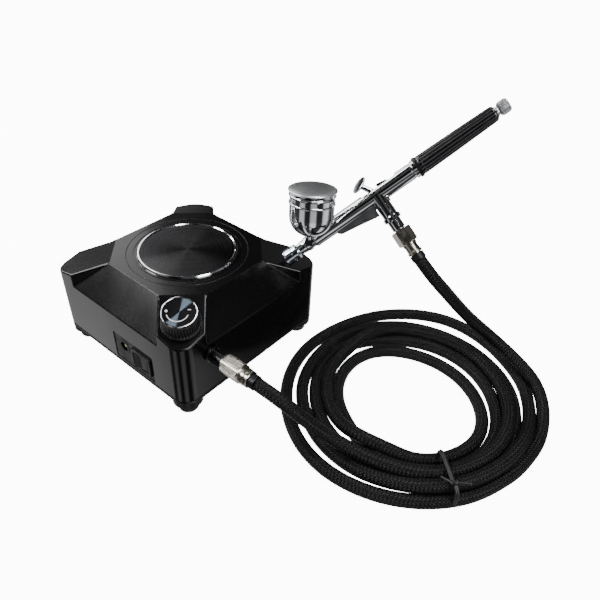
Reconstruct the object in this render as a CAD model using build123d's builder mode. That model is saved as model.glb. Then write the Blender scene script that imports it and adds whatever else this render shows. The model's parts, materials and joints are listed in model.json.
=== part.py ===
from build123d import *
import os
import math

# ---------------------------------------------------------------- driving dimensions (mm)
body_half = 65.5          # half width of the square housing
corner_r = 10.0           # vertical corner radius of the housing
base_z0 = 11.9            # underside of the base plate
base_z1 = 14.2            # top of the base plate's rim
house_z0 = 14.6           # lower edge of the housing
deck_z = 73.0             # flat top deck
panel_in = 46.5           # inner edge of each bevelled panel
arm_half = 15.0           # half width of the diagonal arms
arm_flat = math.sqrt(2) * panel_in - arm_half   # diagonal distance at which an arm starts to slope (the panels' corners)
arm_slope = 0.344         # slope of the arm tips
wall = 3.0
foot_xy = 55.2
boss_r = 10.2
disc_r = 32.5
ring_r = 34.6
knob_r = 12.6
knob_h = 14.3
outlet_y = -42.0
outlet_z = 46.0
hose_d = 8.6
fit_gap = 0.05            # radial running clearance
motor_y = 10.0
motor_z = 34.0
crank = 2.5               # crank radius = half the piston's stroke
cup_r = 14.8

os.makedirs("parts", exist_ok=True)
made = []


def save(part, name):
    part.label = name
    export_step(part, "parts/" + name + ".step")
    made.append(name)


# ---------------------------------------------------------------- frames
# airbrush frame: along = nose to tail, up = trigger side, side = the side that carries the cup
nose = Vector(54.6, 41.2, 70.3)
along = Vector(0.5101, 0.6041, 0.6123).normalized()
up_raw = Vector(-0.7738, 0.0115, 0.6333)
up = (up_raw - along * up_raw.dot(along)).normalized()
side = along.cross(up)
brush_plane = Plane(origin=nose, x_dir=up, z_dir=side * -1)   # x = radius, y = axial distance
brush_axis = Axis(nose, along)


def at(l, u=0.0, w=0.0):
    return nose + along * l + up * u + side * w


# knob frame: normal to the sloping tip of the front arm
knob_dir = Vector(0.2299, -0.2299, 0.9457).normalized()
knob_base = Vector(50.2, -50.2, 65.75)
knob_u = math.hypot(50.2, 50.2)
knob_base = Vector(50.2, -50.2, deck_z - (knob_u - arm_flat) * arm_slope)
knob_x = Vector(1, 1, 0).normalized()
knob_plane = Plane(origin=knob_base, x_dir=knob_x, z_dir=knob_dir)
knob_turn_plane = Plane(origin=knob_base, x_dir=knob_x, z_dir=knob_x.cross(knob_dir))   # x = radius, y = -height or height


def knob_pt(h):
    return knob_base + knob_dir * h


def revolve_plane(origin, direction, x_dir):
    # a plane whose x is the radius and whose y runs along the given direction
    return Plane(origin=origin, x_dir=x_dir, z_dir=x_dir.cross(direction))


# ================================================================ COMPRESSOR
# ---- bevelled panel cutter, one side (-Y)
with BuildPart() as bevel_cut:
    with BuildSketch(Plane.YZ):
        with BuildLine():
            Polyline((-panel_in, deck_z), (-panel_in - 30, deck_z - 29.7), (-panel_in - 30, deck_z + 10), (-panel_in, deck_z + 10), close=True)
        make_face()
    extrude(amount=60, both=True)
    with BuildSketch(Plane.XY.offset(20)):
        with BuildLine():
            k = panel_in - arm_half * math.sqrt(2)
            Polyline((-k, -panel_in), (k, -panel_in), (k + 30, -panel_in - 30), (-k - 30, -panel_in - 30), close=True)
        make_face()
    extrude(amount=80, mode=Mode.INTERSECT)

# ---- sloping tip cutter, one arm (+X)
with BuildPart() as tip_cut:
    with BuildSketch(Plane.XZ):
        with BuildLine():
            Polyline((arm_flat, deck_z), (arm_flat + 50, deck_z - 50 * arm_slope), (arm_flat + 50, deck_z + 10), (arm_flat, deck_z + 10), close=True)
        make_face()
    extrude(amount=45, both=True)

with BuildPart() as top_housing:
    with BuildSketch(Plane.XY.offset(house_z0)):
        RectangleRounded(2 * body_half, 2 * body_half, corner_r)
    extrude(amount=deck_z - house_z0)
    with PolarLocations(0, 4):
        add(bevel_cut.part, mode=Mode.SUBTRACT)
    with PolarLocations(0, 4, start_angle=45):
        add(tip_cut.part, mode=Mode.SUBTRACT)
    # soften the crown: every edge that borders the deck, arms and panels
    crown = [e for e in top_housing.edges() if e.center().Z > 53.5 and e.length > 3]
    fillet(crown, radius=1.3)
    low = top_housing.edges().filter_by(lambda e: abs(e.center().Z - house_z0) < 0.01)
    chamfer(low, length=0.7)
    # hollow inside, stepped under the bevelled panels
    with BuildSketch(Plane.XY.offset(house_z0)):
        RectangleRounded(2 * (body_half - wall) - 1, 2 * (body_half - wall) - 1, 7)
    extrude(amount=50.5 - house_z0, mode=Mode.SUBTRACT)
    with BuildSketch(Plane.XY.offset(50.5)):
        RectangleRounded(106, 106, 6)
    extrude(amount=9.5, mode=Mode.SUBTRACT)
    with BuildSketch(Plane.XY.offset(60)):
        RectangleRounded(84, 84, 6)
    extrude(amount=10, mode=Mode.SUBTRACT)
    # corner screw posts
    with BuildSketch(Plane.XY.offset(house_z0)):
        with GridLocations(2 * foot_xy, 2 * foot_xy, 2, 2):
            Circle(7.8)
    extrude(amount=20)
    with BuildSketch(Plane.XY.offset(house_z0)):
        with GridLocations(2 * foot_xy, 2 * foot_xy, 2, 2):
            Circle(1.55)
    extrude(amount=12, mode=Mode.SUBTRACT)
    # pocket and bore for the pressure regulator under the front arm
    with BuildSketch(Plane(origin=knob_pt(-3.5), x_dir=knob_x, z_dir=knob_dir * -1)):
        Circle(8.6)
    extrude(amount=14, mode=Mode.SUBTRACT)
    with BuildSketch(Plane(origin=knob_pt(2), x_dir=knob_x, z_dir=knob_dir * -1)):
        Circle(3.6)
    extrude(amount=8, mode=Mode.SUBTRACT)
    # seat of the top disc
    with BuildSketch(Plane.XY.offset(deck_z - 0.6)):
        Circle(ring_r)
    extrude(amount=2, mode=Mode.SUBTRACT)
    with BuildSketch(Plane.XY.offset(deck_z - 0.4)):
        Circle(37.0)
        Circle(36.2, mode=Mode.SUBTRACT)
    extrude(amount=2, mode=Mode.SUBTRACT)
    # port panel opening on the left front wall
    with BuildSketch(Plane(origin=(15.75, -body_half, 27.25), x_dir=(1, 0, 0), z_dir=(0, -1, 0))):
        RectangleRounded(40.5, 22.5, 1.5)
    extrude(amount=-1.2, mode=Mode.SUBTRACT)
    with BuildSketch(Plane(origin=(15.75, -body_half, 27.25), x_dir=(1, 0, 0), z_dir=(0, -1, 0))):
        RectangleRounded(37.5, 19.5, 1.0)
    extrude(amount=-5, mode=Mode.SUBTRACT)
    # outlet hole in the right front wall
    with BuildSketch(Plane(origin=(body_half + 1, outlet_y, outlet_z), x_dir=(0, 1, 0), z_dir=(1, 0, 0))):
        Circle(4.75)
    extrude(amount=-8, mode=Mode.SUBTRACT)
save(top_housing.part, "top_housing")

with BuildPart() as base_plate:
    with BuildSketch(Plane.XY.offset(base_z0)):
        RectangleRounded(2 * body_half, 2 * body_half, corner_r)
    extrude(amount=base_z1 - base_z0)
    chamfer(base_plate.edges().filter_by(lambda e: abs(e.center().Z - base_z1) < 0.01 or abs(e.center().Z - base_z0) < 0.01), length=0.5)
    with BuildSketch(Plane.XY.offset(base_z1 - 0.1)):
        RectangleRounded(2 * body_half - 2.4, 2 * body_half - 2.4, corner_r - 1)
    extrude(amount=house_z0 - base_z1 + 0.1)
    # corner bosses
    with BuildSketch(Plane.XY.offset(8.0)):
        with GridLocations(2 * foot_xy, 2 * foot_xy, 2, 2):
            Circle(boss_r)
    extrude(amount=4.2)
    with BuildSketch(Plane.XY.offset(8.0)):
        with GridLocations(2 * foot_xy, 2 * foot_xy, 2, 2):
            Circle(boss_r)
    extrude(amount=-3.5, taper=43)
    # screw passages with a seat for each head
    with BuildSketch(Plane.XY.offset(4)):
        with GridLocations(2 * foot_xy, 2 * foot_xy, 2, 2):
            Circle(1.7)
    extrude(amount=12, mode=Mode.SUBTRACT)
    # air intake slots
    with BuildSketch(Plane.XY.offset(10)):
        with GridLocations(8, 0, 5, 1):
            SlotOverall(28, 3.2, rotation=90)
    extrude(amount=6, mode=Mode.SUBTRACT)
save(base_plate.part, "base_plate")

with BuildPart() as rubber_feet:
    for sx in (-1, 1):
        for sy in (-1, 1):
            with BuildSketch(Plane(origin=(sx * foot_xy, sy * foot_xy, 0), x_dir=(1, 0, 0), z_dir=(0, -1, 0))):
                with BuildLine():
                    Polyline((2.9, 0), (5.8, 0), (6.8, 1.2), (7.0, 4.5), (1.75, 4.5), (1.75, 3.6), (2.9, 3.6), close=True)
                make_face()
            revolve(axis=Axis((sx * foot_xy, sy * foot_xy, 0), (0, 0, 1)))
save(rubber_feet.part, "rubber_feet")

with BuildPart() as base_screws:
    for sx in (-1, 1):
        for sy in (-1, 1):
            with BuildSketch(Plane(origin=(sx * foot_xy, sy * foot_xy, 0), x_dir=(1, 0, 0), z_dir=(0, -1, 0))):
                with BuildLine():
                    Polyline((0, 2.6), (0.9, 2.6), (0.9, 1.7), (2.6, 1.7), (2.6, 3.6), (1.5, 3.6), (1.5, 25), (0, 26), close=True)
                make_face()
            revolve(axis=Axis((sx * foot_xy, sy * foot_xy, 0), (0, 0, 1)))
save(base_screws.part, "base_screws")

with BuildPart() as top_disc:
    with BuildSketch(Plane.XY.offset(deck_z - 0.6)):
        Circle(disc_r)
    extrude(amount=1.3)
    fillet(top_disc.faces().sort_by(Axis.Z)[-1].edges(), radius=0.25)
save(top_disc.part, "top_disc")

with BuildPart() as disc_ring:
    with BuildSketch(Plane.XZ):
        with BuildLine():
            Polyline((disc_r + 0.02, deck_z - 0.6), (ring_r, deck_z - 0.6), (ring_r, deck_z + 0.6), (ring_r - 0.6, deck_z + 1.4), (disc_r + 0.6, deck_z + 1.4), (disc_r + 0.02, deck_z + 0.9), close=True)
        make_face()
    revolve(axis=Axis.Z)
save(disc_ring.part, "disc_ring")

# ---- pressure knob
with BuildPart() as knob_body:
    with BuildSketch(revolve_plane(knob_base, knob_dir, knob_x)):
        with BuildLine():
            Polyline((3.0, 0.5), (12.6, 0.5), (12.6, 2.6), (11.7, 4.2), (11.0, 7.0), (10.8, 12.4), (10.5, 13.7), (9.9, 14.3), (9.2, 14.3), (9.2, 13.6), (9.15, 12.6), (3.0, 12.6), close=True)
        make_face()
    revolve(axis=Axis(knob_base, knob_dir))
    # gripping grooves
    with BuildSketch(Plane(origin=knob_pt(0), x_dir=knob_x, z_dir=knob_dir)):
        with PolarLocations(12.95, 30):
            Circle(0.85)
    extrude(amount=12.2, mode=Mode.SUBTRACT)
save(knob_body.part, "knob_body")

with BuildPart() as knob_face:
    with BuildSketch(Plane(origin=knob_pt(12.6), x_dir=knob_x, z_dir=knob_dir)):
        Circle(9.1)
    extrude(amount=1.2)
save(knob_face.part, "knob_face")

with BuildPart() as regulator_shaft:
    with BuildSketch(Plane(origin=knob_pt(-12), x_dir=knob_x, z_dir=knob_dir)):
        Circle(2.98)
    extrude(amount=24.5)
save(regulator_shaft.part, "regulator_shaft")

with BuildPart() as regulator_body:
    with BuildSketch(Plane(origin=knob_pt(-3.5), x_dir=knob_x, z_dir=knob_dir * -1)):
        Circle(8.0)
    extrude(amount=18.5)
    with BuildSketch(Plane(origin=knob_pt(-3.5), x_dir=knob_x, z_dir=knob_dir * -1)):
        Circle(2.98 + fit_gap)
    extrude(amount=9.0, mode=Mode.SUBTRACT)
    # outlet stub towards the right front wall
    with BuildSketch(Plane(origin=(46.0, outlet_y, outlet_z), x_dir=(0, 1, 0), z_dir=(1, 0, 0))):
        Circle(3.2)
    extrude(amount=9.5)
save(regulator_body.part, "regulator_body")

# ---- port panel
panel_plane = Plane(origin=(15.75, -body_half, 27.25), x_dir=(1, 0, 0), z_dir=(0, -1, 0))
with BuildPart() as port_panel:
    with BuildSketch(panel_plane.offset(-1.2)):
        RectangleRounded(40.3, 22.3, 1.4)
    extrude(amount=0.8)
    with BuildSketch(panel_plane.offset(-2)):
        with Locations((5.8 - 15.75, 30 - 27.25)):
            Circle(5.6)
        with Locations((24 - 15.75, 27.5 - 27.25)):
            Rectangle(17.0, 12.4)
    extrude(amount=3, mode=Mode.SUBTRACT)
save(port_panel.part, "port_panel")

with BuildPart() as dc_jack:
    with BuildSketch(Plane(origin=(5.8, -body_half + 0.2, 30), x_dir=(1, 0, 0), z_dir=(0, 1, 0))):
        Circle(5.5)
    extrude(amount=4.0)
    with BuildSketch(Plane(origin=(5.8, -body_half + 4.2, 29.6), x_dir=(1, 0, 0), z_dir=(0, 1, 0))):
        Rectangle(11.4, 11.0)
    extrude(amount=13.3)
    with BuildSketch(Plane(origin=(5.8, -body_half + 0.1, 30), x_dir=(1, 0, 0), z_dir=(0, 1, 0))):
        Circle(3.6)
    extrude(amount=11.0, mode=Mode.SUBTRACT)
save(dc_jack.part, "dc_jack")

with BuildPart() as dc_pin:
    with BuildSketch(Plane(origin=(5.8, -body_half + 1.4, 30), x_dir=(1, 0, 0), z_dir=(0, 1, 0))):
        Circle(1.05)
    extrude(amount=9.7)
save(dc_pin.part, "dc_pin")

with BuildPart() as switch_bezel:
    with BuildSketch(panel_plane.offset(-0.4)):
        with Locations((24 - 15.75, 27.5 - 27.25)):
            RectangleRounded(19.6, 15.0, 1.2)
    extrude(amount=1.6)
    fillet(switch_bezel.faces().sort_by(Axis.Y)[0].edges(), radius=0.5)
    with BuildSketch(panel_plane.offset(-0.2)):
        with Locations((24 - 15.75, 27.5 - 27.25)):
            Rectangle(16.8, 12.2)
    extrude(amount=-9)
    with BuildSketch(panel_plane.offset(3)):
        with Locations((24 - 15.75, 27.5 - 27.25)):
            Rectangle(15.2, 10.8)
    extrude(amount=-11, mode=Mode.SUBTRACT)
save(switch_bezel.part, "switch_bezel")

# rocker: a sector about its vertical pivot, with a shallow vee face, modelled with its right half pressed
rock_c = (24.0, -62.6)
with BuildPart() as rocker_switch:
    with BuildSketch(Plane.XY.offset(27.5 - 5.0)):
        with Locations(rock_c):
            Circle(7.1)
        with BuildLine():
            pts = []
            for px, py in ((-9, 3.0), (-9, -5.0), (0, -3.9), (9, -5.0), (9, 3.0)):
                an = math.radians(10)
                pts.append((rock_c[0] + px * math.cos(an) - py * math.sin(an), rock_c[1] + px * math.sin(an) + py * math.cos(an)))
            Polyline(*pts, close=True)
        make_face(mode=Mode.INTERSECT)
    extrude(amount=10.0)
save(rocker_switch.part, "rocker_switch")

with BuildPart() as control_board:
    with BuildSketch(Plane(origin=(15, -48.0, 28.3), x_dir=(1, 0, 0), z_dir=(0, 1, 0))):
        Rectangle(44, 27.4)
    extrude(amount=1.6)
    with BuildSketch(Plane(origin=(15, -46.4, 28.3), x_dir=(1, 0, 0), z_dir=(0, 1, 0))):
        with Locations((-10, 4), (8, -3)):
            Rectangle(7, 6)
    extrude(amount=3)
save(control_board.part, "control_board")

# ---- outlet, revolved about the +X direction
out_origin = Vector(0, outlet_y, outlet_z)
out_axis = Axis(out_origin, Vector(1, 0, 0))
out_plane = Plane(origin=out_origin, x_dir=(0, 0, 1), z_dir=(0, 1, 0))   # x = radius (+Z), y = +X
with BuildPart() as outlet_fitting:
    with BuildSketch(out_plane):
        with BuildLine():
            Polyline((1.5, 55.5), (3.2, 55.5), (3.2, 58.5), (4.4, 58.5), (4.4, 62.0), (4.7, 62.0), (4.7, 66.2), (5.6, 66.2), (5.6, 67.6), (4.75, 67.9), (4.75, 77.4), (4.3, 78.0), (4.0, 78.0), (4.0, 89.0), (1.5, 89.0), close=True)
        make_face()
    revolve(axis=out_axis)
save(outlet_fitting.part, "outlet_fitting")

with BuildPart() as hose_nut_a:
    with BuildSketch(out_plane):
        with BuildLine():
            Polyline((4.0 + fit_gap, 78.4), (5.9, 78.4), (6.4, 78.9), (6.4, 93.4), (5.9, 93.9), (5.0, 94.1), (5.0, 95.6), (5.7, 95.8), (5.7, 97.2), (5.0, 97.4), (5.0, 98.2), (5.5, 98.4), (5.5, 100.2), (5.2, 100.5), (4.0 + fit_gap, 100.5), close=True)
        make_face()
    revolve(axis=out_axis)
    with BuildSketch(Plane(origin=(79.6, outlet_y, outlet_z), x_dir=(0, 1, 0), z_dir=(1, 0, 0))):
        with PolarLocations(6.62, 32):
            Circle(0.42)
    extrude(amount=13.2, mode=Mode.SUBTRACT)
save(hose_nut_a.part, "hose_nut_a")

with BuildPart() as hose_ferrule_a:
    with BuildSketch(out_plane):
        with BuildLine():
            Polyline((0, 89.5), (4.0, 89.5), (4.0, 100.9), (4.8, 101.2), (4.8, 104.6), (4.5, 105.0), (0, 105.0), close=True)
        make_face()
    revolve(axis=out_axis)
save(hose_ferrule_a.part, "hose_ferrule_a")

# ---- air pump
pump_axis = Axis((0, motor_y, motor_z), (1, 0, 0))
pump_plane = Plane(origin=(0, motor_y, motor_z), x_dir=(0, 0, 1), z_dir=(0, 1, 0))   # x = radius, y = +X
with BuildPart() as motor_can:
    with BuildSketch(pump_plane):
        with BuildLine():
            Polyline((0, -45), (13.2, -45), (14, -44), (14, -7.5), (13.5, -7), (4.1, -7), (4.1, -4.7), (1.5 + fit_gap, -4.7), (1.5 + fit_gap, -22), (0, -22), close=True)
        make_face()
    revolve(axis=pump_axis)
save(motor_can.part, "motor_can")

with BuildPart() as motor_shaft:
    with BuildSketch(Plane(origin=(-21, motor_y, motor_z), x_dir=(0, 1, 0), z_dir=(1, 0, 0))):
        Circle(1.5)
    extrude(amount=26.5)
save(motor_shaft.part, "motor_shaft")

with BuildPart() as eccentric:
    with BuildSketch(Plane(origin=(0.5, motor_y, motor_z), x_dir=(0, 1, 0), z_dir=(1, 0, 0))):
        Circle(8)
    extrude(amount=5.5)
    with BuildSketch(Plane(origin=(6.0, motor_y, motor_z), x_dir=(0, 1, 0), z_dir=(1, 0, 0))):
        with Locations((0, crank)):
            Circle(1.5)
    extrude(amount=5)
    with BuildSketch(Plane(origin=(0, motor_y, motor_z), x_dir=(0, 1, 0), z_dir=(1, 0, 0))):
        Circle(1.5)
    extrude(amount=5.5, mode=Mode.SUBTRACT)
save(eccentric.part, "eccentric")

with BuildPart() as piston_rod:
    with BuildSketch(Plane(origin=(6.8, motor_y, motor_z), x_dir=(0, 1, 0), z_dir=(1, 0, 0))):
        Circle(9.5)
        with Locations((0, 11)):
            Rectangle(5, 6)
        Circle(7.0, mode=Mode.SUBTRACT)
    extrude(amount=4)
    with BuildSketch(Plane.XY.offset(46.5)):
        with Locations((9, motor_y)):
            Circle(8.0)
    extrude(amount=6)
save(piston_rod.part, "piston_rod")

with BuildPart() as pump_cylinder:
    with BuildSketch(Plane.XY.offset(45.5)):
        with Locations((9, motor_y)):
            Circle(10.0)
    extrude(amount=11.0)
    with BuildSketch(Plane.XY.offset(52.5)):
        with Locations((9, motor_y)):
            Rectangle(20, 20)
    extrude(amount=4.0)
    with BuildSketch(Plane.XY.offset(45)):
        with Locations((9, motor_y)):
            Circle(8.0 + fit_gap)
    extrude(amount=12.0, mode=Mode.SUBTRACT)
save(pump_cylinder.part, "pump_cylinder")

with BuildPart() as pump_head:
    with BuildSketch(Plane.XY.offset(56.5)):
        with Locations((9, motor_y)):
            RectangleRounded(20, 20, 2)
    extrude(amount=7)
    with BuildSketch(Plane(origin=(19, motor_y, 60), x_dir=(0, 1, 0), z_dir=(1, 0, 0))):
        Circle(2.6)
    extrude(amount=4)
    with BuildSketch(Plane(origin=(24, motor_y, 60), x_dir=(0, 1, 0), z_dir=(1, 0, 0))):
        Circle(1.2)
    extrude(amount=-9, mode=Mode.SUBTRACT)
save(pump_head.part, "pump_head")

with BuildPart() as motor_mount:
    with BuildSketch(Plane.XY.offset(18)):
        with Locations((-21.5, motor_y)):
            Rectangle(37, 34)
    extrude(amount=5)
    with BuildSketch(Plane(origin=(-4.5, motor_y, 18), x_dir=(0, 1, 0), z_dir=(1, 0, 0))):
        with Locations((0, 19.25)):
            Rectangle(34, 38.5)
    extrude(amount=3.5)
    with BuildSketch(Plane(origin=(-50, motor_y, motor_z), x_dir=(0, 1, 0), z_dir=(1, 0, 0))):
        Circle(14.02)
    extrude(amount=43, mode=Mode.SUBTRACT)
    with BuildSketch(Plane(origin=(-10, motor_y, motor_z), x_dir=(0, 1, 0), z_dir=(1, 0, 0))):
        Circle(4.2)
    extrude(amount=12, mode=Mode.SUBTRACT)
save(motor_mount.part, "motor_mount")

with BuildPart() as pump_grommets:
    with BuildSketch(Plane.XY.offset(house_z0)):
        with Locations((-36, motor_y - 12), (-36, motor_y + 12), (-8, motor_y - 12), (-8, motor_y + 12)):
            Circle(4)
    extrude(amount=3.4)
save(pump_grommets.part, "pump_grommets")


def route_path(points, name):
    rad = []
    for i in range(1, len(points) - 1):
        a = Vector(*points[i]) - Vector(*points[i - 1])
        b = Vector(*points[i + 1]) - Vector(*points[i])
        half = math.radians(a.get_angle(b) / 2)
        rad.append(0.45 * min(a.length, b.length) / math.tan(half))
    print(name, "radii", [round(r, 1) for r in rad])
    return rad


# pressure tube from the pump head to the regulator
air_pts = [(23.0, motor_y, 60.0), (33.0, motor_y, 60.0), (44.0, 2.0, 55.0), (47.2, -15.0, 53.5), (47.2, -38.0, 53.5)]
air_rad = [6.0, 8.0, 30.0]
with BuildPart() as air_tube:
    with BuildLine() as air_line:
        FilletPolyline(*air_pts, radius=air_rad)
    with BuildSketch(Plane(origin=air_pts[0], x_dir=(0, 1, 0), z_dir=(1, 0, 0))):
        Circle(2.2)
        Circle(1.2, mode=Mode.SUBTRACT)
    sweep()
save(air_tube.part, "air_tube")

with BuildPart() as regulator_inlet:
    with BuildSketch(Plane(origin=(47.2, -38.0, 53.5), x_dir=(1, 0, 0), z_dir=(0, -1, 0))):
        Circle(2.6)
    extrude(amount=3.5)
    add(regulator_body.part, mode=Mode.SUBTRACT)
save(regulator_inlet.part, "regulator_inlet")

# ================================================================ AIR HOSE
# The coil lies on the floor behind and beside the compressor. Its loose turns are taken together
# as one closed ring: outline radii are given about the coil's centre, every few degrees.
coil_c = (166.0, 48.0)
coil_outer = [(216, 91.2), (239, 91.8), (256, 91.7), (277, 88.8), (303, 84.4), (323, 78.8), (345, 77.0), (12, 81.1),
              (35, 89.8), (53, 96.5), (66, 101.0), (85, 103.5), (109, 102.0), (128, 94.3), (155, 89.3), (180, 88.4), (200, 89.6)]
coil_inner = [(213, 50.1), (180, 55.9), (153, 47.9), (135, 41.2), (89, 35.9), (60, 37.2), (22, 42.0), (352, 50.8),
              (333, 55.5), (306, 51.1), (262, 50.8), (235, 49.2)]


def polar(th, r):
    return (coil_c[0] + r * math.cos(math.radians(th)), coil_c[1] + r * math.sin(math.radians(th)))


with BuildPart() as hose_coil:
    with BuildSketch():
        with BuildLine():
            Spline(*[polar(th, r) for th, r in coil_outer], periodic=True)
        make_face()
        with BuildLine():
            Spline(*[polar(th, r) for th, r in coil_inner], periodic=True)
        make_face(mode=Mode.SUBTRACT)
    extrude(amount=17.4)
    fillet(hose_coil.faces().sort_by(Axis.Z)[-1].edges(), radius=3.0)
save(hose_coil.part, "hose_coil")

lead_pts = [(105.0, -42.0, 46.0), (121.0, -41.6, 45.0), (137.5, -38.5, 39.0), (152.5, -32.0, 28.5), (170.0, -23.5, 19.5), (188.0, -15.8, 14.6)]
lead_rad = route_path(lead_pts, "lead")
with BuildPart() as hose_lead:
    with BuildLine() as lead_line:
        FilletPolyline(*lead_pts, radius=lead_rad)
    with BuildSketch(Plane(origin=lead_pts[0], z_dir=Vector(*lead_pts[1]) - Vector(*lead_pts[0]))):
        Circle(hose_d / 2)
    sweep()
save(hose_lead.part, "hose_lead")
print("lead volume ratio", hose_lead.part.volume / (lead_line.wires()[0].length * math.pi * hose_d ** 2 / 4), "length", lead_line.wires()[0].length)

hose_start = at(75.8, -51)
rise_pts = [tuple(hose_start), tuple(hose_start - up * 15.5), (156.8, 90.5, 62.6), (166.6, 99.0, 49.3), (175.6, 108.5, 35.5), (187.0, 116.5, 23.6), (201.8, 120.5, 15.4), (216.0, 117.5, 11.6)]
rise_rad = route_path(rise_pts, "rise")
with BuildPart() as hose_rise:
    with BuildLine() as rise_line:
        FilletPolyline(*rise_pts, radius=rise_rad)
    with BuildSketch(Plane(origin=rise_pts[0], z_dir=Vector(*rise_pts[1]) - Vector(*rise_pts[0]))):
        Circle(hose_d / 2)
    sweep()
save(hose_rise.part, "hose_rise")
print("rise volume ratio", hose_rise.part.volume / (rise_line.wires()[0].length * math.pi * hose_d ** 2 / 4), "length", rise_line.wires()[0].length)

# twist tie round the bundle
tie_th = 317
tie_mid = polar(tie_th, 66.5)
with BuildPart() as coil_tie:
    tie_x = Vector(math.cos(math.radians(tie_th)), math.sin(math.radians(tie_th)), 0)
    tie_t = Vector(-math.sin(math.radians(tie_th)), math.cos(math.radians(tie_th)), 0)
    with BuildSketch(Plane(origin=(tie_mid[0], tie_mid[1], 9.6), x_dir=tie_x, z_dir=tie_t)):
        RectangleRounded(32.0, 18.4, 5.0)
        RectangleRounded(29.8, 16.2, 4.2, mode=Mode.SUBTRACT)
    extrude(amount=1.4, both=True)
save(coil_tie.part, "coil_tie")

# ---- airbrush end of the hose (revolved about -up at the valve)
valve_l = 75.8
valve_o = at(valve_l)
valve_axis = Axis(valve_o, up * -1)
valve_plane = Plane(origin=valve_o, x_dir=along, z_dir=along.cross(up * -1))   # x = radius, y = distance below the body axis

with BuildPart() as hose_nut_b:
    with BuildSketch(Plane(origin=at(valve_l, -27.3), x_dir=along, z_dir=up * -1)):
        RegularPolygon(6.9, 6)
    extrude(amount=10.7)
    with BuildSketch(valve_plane):
        with BuildLine():
            Polyline((0, 27.0), (5.9, 27.0), (7.0, 28.1), (7.0, 37.0), (6.0, 38.2), (0, 38.2), close=True)
        make_face()
    revolve(axis=valve_axis, mode=Mode.INTERSECT)
    with BuildSketch(valve_plane):
        with BuildLine():
            Polyline((0, 37.5), (4.9, 37.5), (4.9, 39.6), (4.4, 39.9), (4.4, 44.0), (5.0, 44.4), (5.0, 46.2), (0, 46.2), close=True)
        make_face()
    revolve(axis=valve_axis)
    with BuildSketch(Plane(origin=at(valve_l, -26), x_dir=along, z_dir=up * -1)):
        Circle(3.5 + fit_gap)
    extrude(amount=22, mode=Mode.SUBTRACT)
save(hose_nut_b.part, "hose_nut_b")

with BuildPart() as hose_ferrule_b:
    with BuildSketch(valve_plane):
        with BuildLine():
            Polyline((0, 36.5), (3.5, 36.5), (3.5, 46.5), (4.9, 46.8), (4.9, 50.6), (4.5, 51.0), (0, 51.0), close=True)
        make_face()
    revolve(axis=valve_axis)
save(hose_ferrule_b.part, "hose_ferrule_b")

# ================================================================ AIRBRUSH
slot_w = 7.0
with BuildPart() as airbrush_body:
    with BuildSketch(brush_plane):
        with BuildLine():
            Polyline((0, 20.6), (4.3, 20.6), (4.6, 21.2), (4.6, 23.6), (5.65, 24.6), (5.65, 102.6), (5.3, 103.0), (5.3, 104.0), (6.2, 104.2), (6.2, 106.3), (0, 106.3), close=True)
        make_face()
    revolve(axis=brush_axis)
    # valve boss
    with BuildSketch(Plane(origin=at(valve_l, 0), x_dir=along, z_dir=up * -1)):
        Circle(6.1)
    extrude(amount=7.5)
    # needle passage, wide rear chamber
    with BuildSketch(Plane(origin=at(20), x_dir=up, z_dir=along)):
        Circle(1.15)
    extrude(amount=60, mode=Mode.SUBTRACT)
    with BuildSketch(Plane(origin=at(84), x_dir=up, z_dir=along)):
        Circle(3.9)
    extrude(amount=24, mode=Mode.SUBTRACT)
    # trigger slot: open on top, from ahead of the trigger to behind the lever
    with BuildSketch(Plane(origin=at(0, 0, -slot_w / 2), x_dir=up, z_dir=side * -1)):
        with BuildLine():
            Polyline((-4.2, 70.5), (-4.2, 81), (-3.4, 84), (-3.4, 92.5), (12, 92.5), (12, 66.5), (0, 66.5), close=True)
        make_face()
    extrude(amount=-slot_w, mode=Mode.SUBTRACT)
    # side bore for the cup's swivel pin
    with BuildSketch(Plane(origin=at(23.0, 0, 3.4), x_dir=along, z_dir=side)):
        Circle(2.0 + fit_gap)
    extrude(amount=5, mode=Mode.SUBTRACT)
    # valve bore
    with BuildSketch(Plane(origin=at(valve_l, -3.5), x_dir=along, z_dir=up * -1)):
        Circle(4.62)
    extrude(amount=8, mode=Mode.SUBTRACT)
save(airbrush_body.part, "airbrush_body")

with BuildPart() as cup_socket:
    # threaded side socket that carries the swivelling cup
    with BuildSketch(Plane(origin=at(23.0, 0, 3.0), x_dir=along, z_dir=side)):
        Circle(3.6)
    extrude(amount=4.0)
    with BuildSketch(Plane(origin=at(23.0, 0, 3.0), x_dir=along, z_dir=side)):
        Circle(2.0 + fit_gap)
    extrude(amount=4.0, mode=Mode.SUBTRACT)
    with BuildSketch(brush_plane):
        with BuildLine():
            Polyline((0, 10), (5.67, 10), (5.67, 40), (0, 40), close=True)
        make_face()
    revolve(axis=brush_axis, mode=Mode.SUBTRACT)
save(cup_socket.part, "cup_socket")

with BuildPart() as crown_cap:
    with BuildSketch(brush_plane):
        with BuildLine():
            Polyline((1.6, 0.4), (4.6, 0), (5.4, 0.8), (5.6, 2.2), (5.6, 6.5), (5.2, 7.0), (5.2, 8.6), (5.5, 9.0), (5.5, 10.3), (2.6, 10.3), (2.6, 6.0), (1.6, 4.0), close=True)
        make_face()
    revolve(axis=brush_axis)
save(crown_cap.part, "crown_cap")

with BuildPart() as nozzle_cap:
    with BuildSketch(brush_plane):
        with BuildLine():
            Polyline((2.62, 10.6), (3.4, 10.6), (3.9, 12.0), (4.6, 15.6), (4.6, 17.4), (5.2, 18.2), (5.2, 20.6), (2.62, 20.6), close=True)
        make_face()
    revolve(axis=brush_axis)
save(nozzle_cap.part, "nozzle_cap")

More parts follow.
